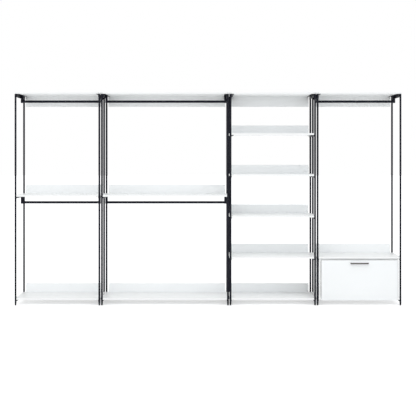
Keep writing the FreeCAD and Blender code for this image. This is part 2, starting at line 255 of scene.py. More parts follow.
# Post caps: domed plugs of moulded polyethylene, tapped into the tops of the posts beside the
# top boards.
cap_profile = (
    (9.2, 0), (9.5, 0.3), (9.5, 1.5), (9.1, 2.3), (8.0, 3.2), (6.0, 4.1), (3.4, 4.7), (1.0, 4.95),
)
cap_seat = 5 * mm

# Moulded plastic with a fine spark texture: deep black, and duller than the powder coat.
# The grain is about 0.3 mm and is drawn at 1 mm.
black_plastic, tree = blank_material("moulded_black_plastic")
place = add_node(tree, "TexCoord").outputs["Object"]
grain = add_node(
    tree, "TexNoise", values={"Scale": 1 / (1 * mm), "Detail": 2.0}, links={"Vector": place}
)
grain_bump = add_node(
    tree,
    "Bump",
    values={"Strength": 0.3, "Distance": 0.05 * mm},
    links={"Height": grain.outputs["Fac"]},
)
grain_gloss = add_node(
    tree, "MapRange", values={"To Min": 0.5, "To Max": 0.65}, links={"Value": grain.outputs["Fac"]}
)
plastic_shader = add_node(
    tree,
    "BsdfPrincipled",
    values={"Base Color": linear("#111216"), "IOR": 1.5, "Specular IOR Level": 0.3},
    links={"Roughness": grain_gloss.outputs["Result"], "Normal": grain_bump.outputs["Normal"]},
)
add_node(tree, "OutputMaterial", links={"Surface": plastic_shader.outputs["BSDF"]})


def in_mm(profile):
    """The pairs of a profile that is written in millimetres."""
    return [(radius * mm, height * mm) for radius, height in profile]


post_places = [
    Vector((across, along, 0))
    for bay in levels
    for across in post_x[bay]
    for along in (front_post_y, rear_post_y)
]
cap_low = Vector((0, 0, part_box("narrow_top_board")[0].z - cap_seat))
new_piece(
    "domed_post_caps",
    repeated(turned(in_mm(cap_profile), segments=32), [spot + cap_low for spot in post_places]),
    black_plastic,
    "root",
    ["post_caps"],
)


# Floor glides: moulded plugs in the bottoms of the posts, with a collar against the tube and a
# foot with a rounded rim, so that a unit can be pushed over a floor.
glide_profile = (
    (5.0, 0), (6.4, 0.5), (7.6, 1.9), (8.3, 4.0), (8.5, 6.5), (8.5, 10.5), (7.9, 11.2),
    (7.9, 12.8), (8.5, 13.5), (8.5, 18.0), (8.2, 19.0),
)
new_piece(
    "rounded_floor_glides",
    repeated(turned(in_mm(glide_profile), segments=32), post_places),
    black_plastic,
    "root",
    ["floor_glides"],
)


# Boards: particle board faced with white melamine paper, 18 mm thick, with a round notch at each
# corner that lets it in between the posts. It rests on the angles and is screwed from below. Faces
# that carry cover caps are lower by the rise of the caps, so that these end at the real size.
notch_radius = post_radius + 0.5 * mm
notch_steps = 8
banding = 0.8 * mm
glue_line = 0.1 * mm
arris = 0.5 * mm
cap_rise = 0.5 * mm

# Melamine paper pressed on board: white, satin, with a fine pearl grain that softens reflections.
# The grain is about 0.6 mm across and is drawn at 2 mm. Tone and gloss drift over 330 mm.
melamine, tree = blank_material("white_melamine_board")
place = add_node(tree, "TexCoord").outputs["Object"]
pearl = add_node(
    tree, "TexNoise", values={"Scale": 1 / (2 * mm), "Detail": 2.0}, links={"Vector": place}
)
pearl_bump = add_node(
    tree,
    "Bump",
    values={"Strength": 0.12, "Distance": 0.05 * mm},
    links={"Height": pearl.outputs["Fac"]},
)
sheet = add_node(
    tree, "TexNoise", values={"Scale": 3.0, "Detail": 4.0}, links={"Vector": place}
)
sheet_colour = add_node(
    tree,
    "Mix",
    {"data_type": "RGBA"},
    {6: linear("#F8F9F9"), 7: linear("#FBFCFC")},
    {0: sheet.outputs["Fac"]},
)
sheet_gloss = add_node(
    tree,
    "MapRange",
    values={"From Min": 0.3, "From Max": 0.7, "To Min": 0.3, "To Max": 0.36},
    links={"Value": sheet.outputs["Fac"]},
)
melamine_shader = add_node(
    tree,
    "BsdfPrincipled",
    values={"IOR": 1.5},
    links={
        "Base Color": sheet_colour.outputs[2],
        "Roughness": sheet_gloss.outputs["Result"],
        "Normal": pearl_bump.outputs["Normal"],
    },
)
add_node(tree, "OutputMaterial", links={"Surface": melamine_shader.outputs["BSDF"]})


def slab(outline, low, high, axis=2, rounding=arris):
    """A plate: an outline of pairs drawn through along one axis, its sharp edges rounded."""
    shape = bmesh.new()
    ends = []
    for level in (low, high):
        end = []
        for pair in outline:
            spot = list(pair)
            spot.insert(axis, level)
            end.append(shape.verts.new(spot))
        ends.append(end)
    for end in ends:
        shape.faces.new(end)
    for step in range(len(outline)):
        following = (step + 1) % len(outline)
        shape.faces.new((ends[0][step], ends[0][following], ends[1][following], ends[1][step]))
    bmesh.ops.recalc_face_normals(shape, faces=shape.faces)
    least_corner = math.radians(30)
    sharp = [edge for edge in shape.edges if edge.calc_face_angle() > least_corner]
    bmesh.ops.bevel(
        shape,
        geom=sharp,
        offset=rounding,
        segments=2,
        profile=0.5,
        affect="EDGES",
        clamp_overlap=True,
    )
    return shape


def rectangle(low, high):
    """The outline of a rectangle between two corners."""
    return [(low[0], low[1]), (high[0], low[1]), (high[0], high[1]), (low[0], high[1])]


def notched_outline(low, high, half):
    """Half the outline of a board about its own centre line, its notches round the posts."""
    inset = banding + glue_line
    corners = [(half - notch_radius, low.y + inset)]
    for step in range(notch_steps + 1):
        turn = math.radians(180 - 90 * step / notch_steps)
        corners.append(
            (half + notch_radius * math.cos(turn), front_post_y + notch_radius * math.sin(turn))
        )
    side = half + post_radius - inset
    corners += [(side, front_post_y + notch_radius), (side, rear_post_y - notch_radius)]
    reach = high.y - rear_post_y
    last = 180 if reach > 0 else 180 + math.degrees(math.asin(-reach / notch_radius))
    for step in range(notch_steps + 1):
        turn = math.radians(270 + (last - 270) * step / notch_steps)
        corners.append(
            (half + notch_radius * math.cos(turn), rear_post_y + notch_radius * math.sin(turn))
        )
    if reach > 0:
        corners.append((half - notch_radius, high.y))
    return corners


for bay, boards in levels.items():
    centre = sum(post_x[bay]) / 2
    half = (post_x[bay][1] - post_x[bay][0]) / 2
    for level in boards:
        node = "%s_%s" % (bay, level)
        low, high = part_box(node)
        right = notched_outline(low, high, half)
        outline = [(centre + across, along) for across, along in right]
        outline += [(centre - across, along) for across, along in reversed(right)]
        top = high.z - cap_rise * (level == "top_board")
        panel = slab(outline, low.z, top)
        new_piece(node + "_panel", panel, melamine, "root", [node])


# Back lips: strips of the same board on edge, which keep things from falling off the back and
# stiffen the boards. Each is screwed to the rear edge of its board, except the top ones, which
# hang under theirs and are screwed from above.
lip_height = 108 * mm
lip_box = {}
for bay in levels:
    low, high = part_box(bay + "_back_lips")
    lips = []
    for level in levels[bay]:
        hangs = level == "top_board"
        board_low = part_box("%s_%s" % (bay, level))[0].z
        foot_z = board_low - lip_height if hangs else board_low
        inset = banding + glue_line
        core = rectangle(
            (low.x, foot_z + inset * hangs), (high.x, foot_z + lip_height - inset * (not hangs))
        )
        lip_box[bay, level] = (
            Vector((low.x, low.y, foot_z)), Vector((high.x, high.y, foot_z + lip_height))
        )
        lips.append(slab(core, low.y, high.y - cap_rise * (not hangs), axis=1))
    new_piece(
        bay + "_lip_strips",
        joined(lips),
        melamine,
        "root",
        [bay + "_back_lips"],
    )


# Edge banding: ABS tape, 0.8 mm thick, glued to the sawn edges of the boards and to the free edge
# of each lip, its corners trimmed round. It is brighter and smoother than the faces beside it.
tape_rounding = 0.35 * mm

# Extruded ABS: smooth and white, with a soft gloss that catches the light along each edge.
# Its draw lines are 1.4 mm apart.
abs_edging, tree = blank_material("white_abs_edge_banding")
place = add_node(tree, "TexCoord").outputs["Object"]
stretch = add_node(
    tree, "Mapping", values={"Scale": (1.0, 1.0, 60.0)}, links={"Vector": place}
)
draw_lines = add_node(
    tree, "TexNoise", values={"Scale": 12.0, "Detail": 2.0}, links={"Vector": stretch.outputs[0]}
)
draw_gloss = add_node(
    tree,
    "MapRange",
    values={"To Min": 0.24, "To Max": 0.34},
    links={"Value": draw_lines.outputs["Fac"]},
)
abs_shader = add_node(
    tree,
    "BsdfPrincipled",
    values={"Base Color": linear("#FAFAF9"), "IOR": 1.52},
    links={"Roughness": draw_gloss.outputs["Result"]},
)
add_node(tree, "OutputMaterial", links={"Surface": abs_shader.outputs["BSDF"]})

for bay, boards in levels.items():
    tapes = []
    for level in boards:
        hangs = level == "top_board"
        low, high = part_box("%s_%s" % (bay, level))
        top = high.z - cap_rise * hangs
        front = rectangle(
            (post_x[bay][0] + notch_radius, low.y),
            (post_x[bay][1] - notch_radius, low.y + banding),
        )
        tapes.append(slab(front, low.z, top, rounding=tape_rounding))
        for across in (low.x, high.x - banding):
            side = rectangle(
                (across, front_post_y + notch_radius),
                (across + banding, rear_post_y - notch_radius),
            )
            tapes.append(slab(side, low.z, top, rounding=tape_rounding))
        lip_low, lip_high = lip_box[bay, level]
        free = lip_low.z if hangs else lip_high.z - banding
        strip = rectangle(
            (lip_low.x, lip_low.y), (lip_high.x, lip_high.y - cap_rise * (not hangs))
        )
        tapes.append(slab(strip, free, free + banding, rounding=tape_rounding))
    new_piece(bay + "_edge_banding", joined(tapes), abs_edging, "root")


# Board screws: pan-head screws with a cross recess, driven up through the flange of each angle
# into the board.
screw_setback = 60 * mm
screw_inset = 14 * mm

# Phosphated steel: dark grey metal, slightly rough, with lighter rubbed spots about 1.4 mm across.
black_screw, tree = blank_material("phosphated_steel_screw")
place = add_node(tree, "TexCoord").outputs["Object"]
rub = add_node(
    tree, "TexNoise", values={"Scale": 700.0, "Detail": 3.0}, links={"Vector": place}
)
rub_colour = add_node(
    tree,
    "Mix",
    {"data_type": "RGBA"},
    {6: linear("#26272A"), 7: linear("#4A4C50")},
    {0: rub.outputs["Fac"]},
)
screw_shader = add_node(
    tree,
    "BsdfPrincipled",
    values={"Metallic": 1.0, "Roughness": 0.42},
    links={"Base Color": rub_colour.outputs[2]},
)
add_node(tree, "OutputMaterial", links={"Surface": screw_shader.outputs["BSDF"]})


def cross_head(radius, height):
    """A pan head that stands on zero and points up, with a cross recess sunk in its top."""
    dome = ((1.0, 0), (1.0, 0.3), (0.93, 0.65), (0.8, 0.9), (0.62, 1.0))
    shape = turned([(radius * out, height * up) for out, up in dome], segments=24)
    shape.faces.ensure_lookup_table()
    top = shape.faces[len(shape.faces) - 1]
    rim = list(top.edges)
    shape.faces.remove(top)
    reach, slot = 0.5 * radius, 0.13 * radius
    taper, depth = 0.8, 0.45 * radius
    cross = []
    for turn in range(4):
        for across, along in ((slot, slot), (slot, reach), (-slot, reach)):
            for _ in range(turn):
                across, along = -along, across
            cross.append(shape.verts.new((across, along, height)))
    count = len(cross)
    ring = [shape.edges.new((cross[step], cross[(step + 1) % count])) for step in range(count)]
    bmesh.ops.triangle_fill(shape, edges=rim + ring, use_beauty=True)
    floor = [
        shape.verts.new((taper * vertex.co.x, taper * vertex.co.y, height - depth))
        for vertex in cross
    ]
    for step in range(count):
        following = (step + 1) % count
        shape.faces.new((cross[step], cross[following], floor[following], floor[step]))
    shape.faces.new(floor)
    return shape


down = Matrix.Rotation(math.pi, 4, "X")
for bay, boards in levels.items():
    spots = []
    for level in boards:
        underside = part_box("%s_%s" % (bay, level))[0].z - angle_sheet
        for across in (
            post_x[bay][0] + post_radius + screw_inset,
            post_x[bay][1] - post_radius - screw_inset,
        ):
            for along in (front_post_y + screw_setback, rear_post_y - screw_setback):
                spots.append(Matrix.Translation((across, along, underside)) @ down)
    heads = repeated(cross_head(radius=4 * mm, height=2.4 * mm), spots)
    new_piece(bay + "_board_screws", heads, black_screw, "root")


# Cover caps of the lips: white polyethylene caps pressed into the heads of the screws that hold
# each lip to its board.
cover_profile = ((6.3, 0), (6.4, 0.45), (6.25, 0.6), (5.6, 0.75), (4.0, 0.9), (1.0, 0.96))
cover_height = 0.96 * mm
cover_margin = 0.08
cover_counts = {"narrow": 3, "wide": 4, "tower": 3, "drawer_bay": 3}

# Moulded polyethylene: slightly waxy white, a little warmer than the board round it.
# The sheen changes a little every 3 mm.
cap_plastic, tree = blank_material("white_cover_cap")
place = add_node(tree, "TexCoord").outputs["Object"]
wax = add_node(tree, "TexNoise", values={"Scale": 300.0}, links={"Vector": place})
wax_gloss = add_node(
    tree, "MapRange", values={"To Min": 0.4, "To Max": 0.5}, links={"Value": wax.outputs["Fac"]}
)
cap_shader = add_node(
    tree,
    "BsdfPrincipled",
    values={
        "Base Color": linear("#EFEFEB"),
        "IOR": 1.5,
        "Subsurface Weight": 0.05,
        "Subsurface Scale": 1 * mm,
    },
    links={"Roughness": wax_gloss.outputs["Result"]},
)
add_node(tree, "OutputMaterial", links={"Surface": cap_shader.outputs["BSDF"]})

backwards = Matrix.Rotation(-math.pi / 2, 4, "X")
for bay, boards in levels.items():
    spots = []
    for level in boards:
        low, high = lip_box[bay, level]
        board_low, board_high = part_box("%s_%s" % (bay, level))
        for step in range(cover_counts[bay]):
            share = cover_margin + (1 - 2 * cover_margin) * step / (cover_counts[bay] - 1)
            across = low.x + share * (high.x - low.x)
            if level == "top_board":
                spot = (across, (low.y + high.y) / 2, board_high.z - cover_height)
                spots.append(Matrix.Translation(spot))
            else:
                spot = (across, high.y - cover_height, (board_low.z + board_high.z) / 2)
                spots.append(Matrix.Translation(spot) @ backwards)
    covers = repeated(turned(in_mm(cover_profile), segments=24), spots)
    new_piece(bay + "_cover_caps", covers, cap_plastic, "root")


# Hanging rods: round steel tubes, 25 mm across, with the same black coat as the frames.
# A moulded plug closes each end, just clear of the side frame.
rods = (
    "narrow_middle_rod", "narrow_top_rod", "wide_middle_rod", "wide_top_rod", "drawer_bay_top_rod",
)
dress(rods, powder_coat)
plug_profile = (
    (11.0, -8), (11.0, 0), (12.5, 0.0), (12.5, 0.9), (11.8, 1.7), (9.0, 2.2), (1.0, 2.3),
)
outwards = {
    -1: Matrix.Rotation(-math.pi / 2, 4, "Y"),
    1: Matrix.Rotation(math.pi / 2, 4, "Y"),
}
spots = []
for rod in rods:
    low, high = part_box(rod)
    for across, side in ((low.x, -1), (high.x, 1)):
        spot = (across, (low.y + high.y) / 2, (low.z + high.z) / 2)
        spots.append(Matrix.Translation(spot) @ outwards[side])
new_piece(
    "rod_end_plugs",
    repeated(turned(in_mm(plug_profile), segments=32), spots),
    black_plastic,
    "root",
)


# Rod straps: strips of 2 mm steel, 22 mm wide, folded round under each end of a rod. The feet are
# turned out under the flange of the angle, and a screw through each goes up into the board.
rod_radius = 12.5 * mm
strap_sheet = 2 * mm
strap_width = 22 * mm
strap_rise = 64 * mm
strap_overhang = 0.5 * mm
foot_reach = 30 * mm
foot_screw_edge = 6 * mm
fold_radius = 3 * mm


def ribbon(path, thickness):
    """The outline of a strip of even thickness along a smooth path of pairs."""
    sides = ([], [])
    for step, spot in enumerate(path):
        before = Vector(path[max(step - 1, 0)])
        after = Vector(path[min(step + 1, len(path) - 1)])
        along = (after - before).normalized()
        normal = Vector((-along.y, along.x)) * thickness / 2
        sides[0].append(tuple(Vector(spot) + normal))
        sides[1].append(tuple(Vector(spot) - normal))
    return sides[0] + sides[1][::-1]


def arc(centre, radius, start, end, steps):
    """Points on an arc; its angles are in degrees."""
    turns = [math.radians(start + (end - start) * step / steps) for step in range(steps + 1)]
    return [
        (centre[0] + radius * math.cos(turn), centre[1] + radius * math.sin(turn))
        for turn in turns
    ]


leg = rod_radius + strap_sheet / 2
straps, strap_screws = [], []
for rod in rods:
    low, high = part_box(rod)
    middle_y, middle_z = (low.y + high.y) / 2, (low.z + high.z) / 2
    top = middle_z + strap_rise - strap_sheet / 2
    half_path = [(foot_reach, top)]
    half_path += arc((leg + fold_radius, top - fold_radius), fold_radius, 90, 180, steps=5)
    half_path += arc((0, middle_z), leg, 0, -90, steps=12)
    path = [(-across, up) for across, up in half_path] + half_path[-2::-1]
    outline = ribbon([(middle_y + across, up) for across, up in path], strap_sheet)
    for start in (low.x - strap_overhang, high.x + strap_overhang - strap_width):
        straps.append(slab(outline, start, start + strap_width, axis=0, rounding=0.3 * mm))
        for along in (-1, 1):
            spot = (
                start + strap_width / 2,
                middle_y + along * (foot_reach - foot_screw_edge),
                top - strap_sheet / 2,
            )
            strap_screws.append(Matrix.Translation(spot) @ down)
new_piece(
    "folded_rod_straps", joined(straps), powder_coat, "root", ["rod_straps"]
)
heads = repeated(cross_head(radius=3.5 * mm, height=2.0 * mm), strap_screws)
new_piece("strap_screws", heads, black_screw, "root")


# Case of the drawer: two melamine boards that stand on the bottom board and a rail laid flat
# between them over the drawer, all with banded front edges. Cam locks in the inner faces of the
# sides pull them onto pins in the boards above and below.
cam_setback = 50 * mm
cam_edge = 34 * mm
cam_sink = 1.6 * mm

# Zinc plate on steel: bright bluish grey, with the faint stains of its passivation, about 22 mm
# across, and rolling lines 1.1 mm apart.
zinc_plate, tree = blank_material("zinc_plated_steel")
place = add_node(tree, "TexCoord").outputs["Object"]
stain = add_node(
    tree,
    "TexNoise",
    values={"Scale": 45.0, "Detail": 3.0, "Distortion": 0.6},
    links={"Vector": place},
)
stain_colour = add_node(
    tree,
    "Mix",
    {"data_type": "RGBA"},
    {6: linear("#B9BEC2"), 7: linear("#D0CFC8")},
    {0: stain.outputs["Fac"]},
)
roll = add_node(tree, "Mapping", values={"Scale": (1.0, 0.04, 1.0)}, links={"Vector": place})
roll_lines = add_node(
    tree, "TexNoise", values={"Scale": 900.0, "Detail": 2.0}, links={"Vector": roll.outputs[0]}
)
roll_bump = add_node(
    tree,
    "Bump",
    values={"Strength": 0.15, "Distance": 0.03 * mm},
    links={"Height": roll_lines.outputs["Fac"]},
)
stain_gloss = add_node(
    tree, "MapRange", values={"To Min": 0.24, "To Max": 0.4}, links={"Value": stain.outputs["Fac"]}
)
zinc_shader = add_node(
    tree,
    "BsdfPrincipled",
    values={"Metallic": 1.0},
    links={
        "Base Color": stain_colour.outputs[2],
        "Roughness": stain_gloss.outputs["Result"],
        "Normal": roll_bump.outputs["Normal"],
    },
)
add_node(tree, "OutputMaterial", links={"Surface": zinc_shader.outputs["BSDF"]})

case_tapes = []
for node, name in (
    ("drawer_case_left_side", "case_left_panel"),
    ("drawer_case_right_side", "case_right_panel"),
    ("drawer_case_rail", "case_rail_panel"),
):
    low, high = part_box(node)
    core = rectangle((low.x, low.y + banding + glue_line), (high.x, high.y))
    tape = rectangle((low.x, low.y), (high.x, low.y + banding))
    panel = slab(core, low.z, high.z)
    new_piece(name, panel, melamine, "root", [node])
    case_tapes.append(slab(tape, low.z, high.z, rounding=tape_rounding))
new_piece("case_edge_banding", joined(case_tapes), abs_edging, "root")

cams = []
for node, inward in (("drawer_case_left_side", 1), ("drawer_case_right_side", -1)):
    low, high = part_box(node)
    inner_face = high.x if inward > 0 else low.x
    for along in (low.y + cam_setback, high.y - cam_setback):
        for up in (low.z + cam_edge, high.z - cam_edge):
            spot = (inner_face - inward * cam_sink, along, up)
            cams.append(Matrix.Translation(spot) @ outwards[inward])
new_piece(
    "case_cam_locks",
    repeated(cross_head(radius=7.5 * mm, height=2.0 * mm), cams),
    zinc_plate,
    "root",
)


# Back of the case: a sheet of hardboard between the rear edges of the case sides, lacquered
# white. Moulded clips, each with one screw into the edge of a side, keep it in.
clip_half = 6 * mm
clip_sheet = 1.6 * mm
clip_overlap = 9 * mm
clip_tail = 12 * mm
clip_screw_inset = 5.5 * mm
clip_heights = (0.32, 0.6, 0.88)

# A wave texture's bands are this far apart, in metres, at a scale of 1.
band = math.tau / 20

# Hardboard: smooth and matt in front, with the print of the press screen on its rear face. The
# wires of the screen are 1.5 mm apart and are drawn at 4 mm.
hardboard, tree = blank_material("white_lacquered_hardboard")
place = add_node(tree, "TexCoord").outputs["Object"]
wires = [
    add_node(
        tree,
        "TexWave",
        {"bands_direction": axis},
        {"Scale": band / (4 * mm), "Distortion": 0.4},
        {"Vector": place},
    )
    for axis in ("X", "Z")
]
screen = add_node(
    tree,
    "Math",
    {"operation": "MULTIPLY"},
    links={0: wires[0].outputs["Fac"], 1: wires[1].outputs["Fac"]},
)
normal = add_node(tree, "NewGeometry").outputs["Normal"]
facing = add_node(tree, "SeparateXYZ", links={0: normal})
rear = add_node(tree, "Math", {"operation": "GREATER_THAN"}, {1: 0.5}, {0: facing.outputs["Y"]})
screen_print = add_node(
    tree,
    "Math",
    {"operation": "MULTIPLY"},
    links={0: screen.outputs[0], 1: rear.outputs[0]},
)
screen_bump = add_node(
    tree,
    "Bump",
    values={"Strength": 0.3, "Distance": 0.1 * mm},
    links={"Height": screen_print.outputs[0]},
)
lacquer_colour = add_node(
    tree,
    "Mix",
    {"data_type": "RGBA"},
    {6: linear("#F1F2F1"), 7: linear("#EAEAE6")},
    {0: screen_print.outputs[0]},
)
lacquer_gloss = add_node(
    tree, "MapRange", values={"To Min": 0.45, "To Max": 0.7}, links={"Value": rear.outputs[0]}
)
hardboard_shader = add_node(
    tree,
    "BsdfPrincipled",
    values={"IOR": 1.5},
    links={
        "Base Color": lacquer_colour.outputs[2],
        "Roughness": lacquer_gloss.outputs[0],
        "Normal": screen_bump.outputs["Normal"],
    },
)
add_node(tree, "OutputMaterial", links={"Surface": hardboard_shader.outputs["BSDF"]})
dress(("drawer_case_back",), hardboard)

back_low, back_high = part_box("drawer_case_back")
clips, clip_screws = [], []
for edge, inward in ((back_low.x, 1), (back_high.x, -1)):
    outer = edge - inward * clip_tail
    left, right = sorted((outer, edge + inward * clip_overlap))
    for share in clip_heights:
        middle = back_low.z + share * (back_high.z - back_low.z)
        outline = rectangle((left, middle - clip_half), (right, middle + clip_half))
        clips.append(slab(outline, back_high.y, back_high.y + clip_sheet, axis=1))
        spot = (outer + inward * clip_screw_inset, back_high.y + clip_sheet, middle)
        clip_screws.append(Matrix.Translation(spot) @ backwards)
new_piece("case_back_clips", joined(clips), cap_plastic, "root")
heads = repeated(cross_head(radius=3 * mm, height=1.6 * mm), clip_screws)
new_piece("case_back_clip_screws", heads, zinc_plate, "root")


# Drawer front: a melamine board in front of the case and of the edge of the bottom board, banded
# all round. Screws through the box hold it, so that none show in front.
low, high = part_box("drawer_front")
inset = banding + glue_line
core = rectangle((low.x + inset, low.z + inset), (high.x - inset, high.z - inset))
new_piece(
    "drawer_front_panel",
    slab(core, low.y, high.y, axis=1),
    melamine,
    "drawer",
    ["drawer_front"],
)
front_tapes = [
    slab(rectangle(start, end), low.y, high.y, axis=1, rounding=tape_rounding)
    for start, end in (
        ((low.x, low.z), (high.x, low.z + banding)),
        ((low.x, high.z - banding), (high.x, high.z)),
        ((low.x, low.z + banding), (low.x + banding, high.z - banding)),
        ((high.x - banding, low.z + banding), (high.x, high.z - banding)),
    )
]
new_piece(
    "drawer_front_banding", joined(front_tapes), abs_edging, "drawer"
)


# Drawer box: sides and back of thin board wrapped in white foil, with a hardboard bottom let into
# grooves. White plastic blocks hold its front corners, and screws join the sides to the back.
block = 22 * mm
block_half = 11 * mm
block_wall = 4 * mm
block_edge = 60 * mm
block_screw_inset = 12.7 * mm
joint_sink = 1.0 * mm
joint_heights = (0.14, 0.5, 0.86)

# Vinyl foil on board: matt white with a faint linen weave, 1.2 mm a thread, drawn at 3 mm.
foil_board, tree = blank_material("foil_wrapped_board")
place = add_node(tree, "TexCoord").outputs["Object"]
threads = [
    add_node(
        tree,
        "TexWave",
        {"bands_direction": axis},
        {"Scale": band / (3 * mm), "Distortion": 1.0},
        {"Vector": place},
    )
    for axis in ("Y", "Z")
]
linen = add_node(
    tree,
    "Math",
    {"operation": "MULTIPLY"},
    links={0: threads[0].outputs["Fac"], 1: threads[1].outputs["Fac"]},
)
linen_bump = add_node(
    tree,
    "Bump",
    values={"Strength": 0.15, "Distance": 0.05 * mm},
    links={"Height": linen.outputs["Value"]},
)
linen_colour = add_node(
    tree,
    "Mix",
    {"data_type": "RGBA"},
    {6: linear("#E9EAEA"), 7: linear("#F0F1F1")},
    {0: linen.outputs["Value"]},
)
foil_shader = add_node(
    tree,
    "BsdfPrincipled",
    values={"Roughness": 0.55, "IOR": 1.5},
    links={"Base Color": linen_colour.outputs[2], "Normal": linen_bump.outputs["Normal"]},
)
add_node(tree, "OutputMaterial", links={"Surface": foil_shader.outputs["BSDF"]})
dress(("drawer_left_side", "drawer_right_side", "drawer_back", "drawer_bottom"), foil_board)

side_low, side_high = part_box("drawer_left_side")
right_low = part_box("drawer_right_side")[0]
blocks, block_screws = [], []
for corner, inward in ((side_high.x, 1), (right_low.x, -1)):
    for up in (side_low.z + block_edge, side_high.z - block_edge):
        wedge = [
            (corner, side_low.y),
            (corner + inward * block, side_low.y),
            (corner + inward * block, side_low.y + block_wall),
            (corner + inward * block_wall, side_low.y + block),
            (corner, side_low.y + block),
        ]
        blocks.append(slab(wedge, up - block_half, up + block_half, rounding=0.8 * mm))
        slope = Matrix.Rotation(inward * -math.pi / 4, 4, "Z") @ backwards
        spot = (corner + inward * block_screw_inset, side_low.y + block_screw_inset, up)
        block_screws.append(Matrix.Translation(spot) @ slope)
new_piece("box_corner_blocks", joined(blocks), cap_plastic, "drawer")
heads = repeated(cross_head(radius=3 * mm, height=1.8 * mm), block_screws)
new_piece("corner_block_screws", heads, zinc_plate, "drawer")

box_back_low, box_back_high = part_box("drawer_back")
joint_screws = []
for node, outward in (("drawer_left_side", -1), ("drawer_right_side", 1)):
    low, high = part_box(node)
    outer_face = low.x if outward < 0 else high.x
    for share in joint_heights:
        spot = (
            outer_face - outward * joint_sink,
            (box_back_low.y + box_back_high.y) / 2,
            low.z + share * (high.z - low.z),
        )
        joint_screws.append(Matrix.Translation(spot) @ outwards[outward])
heads = repeated(cross_head(radius=3 * mm, height=1.5 * mm), joint_screws)
new_piece("box_joint_screws", heads, zinc_plate, "drawer")


# Handle: an aluminium bar bent to a bow, anodised dark bronze, held by two screws from inside
# the front.
bar_depth = 8 * mm
bar_height = 12 * mm
bar_corner = 2.6 * mm
bend = 12 * mm

# Brushed and anodised aluminium: dark and metallic, drawn out along the bar. Its grooves are
# 0.1 mm wide and are drawn at 0.5 mm.
bronze, tree = blank_material("dark_bronze_anodised_aluminium")
place = add_node(tree, "TexCoord").outputs["Object"]
brush = add_node(tree, "Mapping", values={"Scale": (0.03, 1.0, 1.0)}, links={"Vector": place})
brush_lines = add_node(
    tree,
    "TexNoise",
    values={"Scale": 1 / (0.5 * mm), "Detail": 2.0},
    links={"Vector": brush.outputs[0]},
)
brush_bump = add_node(
    tree,
    "Bump",
    values={"Strength": 0.1, "Distance": 0.03 * mm},
    links={"Height": brush_lines.outputs["Fac"]},
)
brush_gloss = add_node(
    tree,
    "MapRange",
    values={"To Min": 0.28, "To Max": 0.38},
    links={"Value": brush_lines.outputs["Fac"]},
)
bronze_shader = add_node(
    tree,
    "BsdfPrincipled",
    values={"Base Color": linear("#54504F"), "Metallic": 1.0},
    links={"Roughness": brush_gloss.outputs["Result"], "Normal": brush_bump.outputs["Normal"]},
)
add_node(tree, "OutputMaterial", links={"Surface": bronze_shader.outputs["BSDF"]})

handle_low, handle_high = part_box("drawer_handle")
handle_x, handle_z = (handle_low.x + handle_high.x) / 2, (handle_low.z + handle_high.z) / 2
half = (handle_high.x - handle_low.x - bar_depth) / 2
crest = handle_low.y + bar_depth / 2
half_path = [(half, handle_high.y)] + arc((half - bend, crest + bend), bend, 0, -90, steps=8)
path = [(-across, along) for across, along in half_path] + half_path[::-1]
section = []
for corner, (across, up) in enumerate(((1, 1), (-1, 1), (-1, -1), (1, -1))):
    centre = (across * (bar_depth / 2 - bar_corner), up * (bar_height / 2 - bar_corner))
    section += arc(centre, bar_corner, 90 * corner, 90 * corner + 90, steps=4)
bar = bmesh.new()
rings = []
for step, spot in enumerate(path):
    before, after = Vector(path[max(step - 1, 0)]), Vector(path[min(step + 1, len(path) - 1)])
    along = (after - before).normalized()
    rings.append([
        bar.verts.new(
            (handle_x + spot[0] - along.y * out, spot[1] + along.x * out, handle_z + up)
        )
        for out, up in section
    ])
for lower, upper in zip(rings, rings[1:]):
    for step in range(len(section)):
        following = (step + 1) % len(section)
        bar.faces.new((lower[step], lower[following], upper[following], upper[step]))
for ring in (rings[0], rings[-1]):
    bar.faces.new(ring)
new_piece("bow_handle", bar, bronze, "drawer", ["drawer_handle"])
front_rear_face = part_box("drawer_front")[1].y
handle_screws = [
    Matrix.Translation((handle_x + side * half, front_rear_face, handle_z)) @ backwards
    for side in (-1, 1)
]
heads = repeated(cross_head(radius=4 * mm, height=2.2 * mm), handle_screws)
new_piece("handle_screws", heads, zinc_plate, "drawer")


# Runners: three channels of rolled and zinc-plated steel a side, sliding on two pairs of ball
# races. Their outer members are screwed to the case and their inner ones to the box.
dress(
    ("runner_cabinet_members", "runner_middle_members", "runner_drawer_members"), zinc_plate
)
outer_low, outer_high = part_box("runner_cabinet_members")
runner_z = (outer_low.z + outer_high.z) / 2
runner_sheet = 1.2 * mm
runner_depth = 12.7 * mm
runner_screw_edge = 34 * mm
low_head = 1.6 * mm
case_rise = 0.4 * mm
box_rise = 0.2 * mm
runner_screws = {"root": [], "drawer": []}
for along in (
    outer_low.y + runner_screw_edge,
    (outer_low.y + outer_high.y) / 2,
    outer_high.y - runner_screw_edge,
):
    for across, inward in ((outer_low.x, 1), (outer_high.x, -1)):
        case_spot = (across + inward * (runner_sheet + case_rise - low_head), along, runner_z)
        box_spot = (across + inward * (runner_depth - runner_sheet + box_rise), along, runner_z)
        runner_screws["root"].append(Matrix.Translation(case_spot) @ outwards[inward])
        runner_screws["drawer"].append(Matrix.Translation(box_spot) @ outwards[-inward])
for body, spots in runner_screws.items():
    heads = repeated(cross_head(radius=3.2 * mm, height=low_head), spots)
    new_piece(body + "_runner_screws", heads, zinc_plate, body)


# Ball cages: a strip of thin steel in each race, with holes that keep the balls apart. The balls
# are ground and polished, 3.5 mm across, and run between the channels on both sides of the strip.
cage_width = 4 * mm
cage_height = 3 * mm
strip_half = 0.4 * mm
ball_radius = 1.75 * mm
balls_in_row = 9
first_ball = 8 * mm

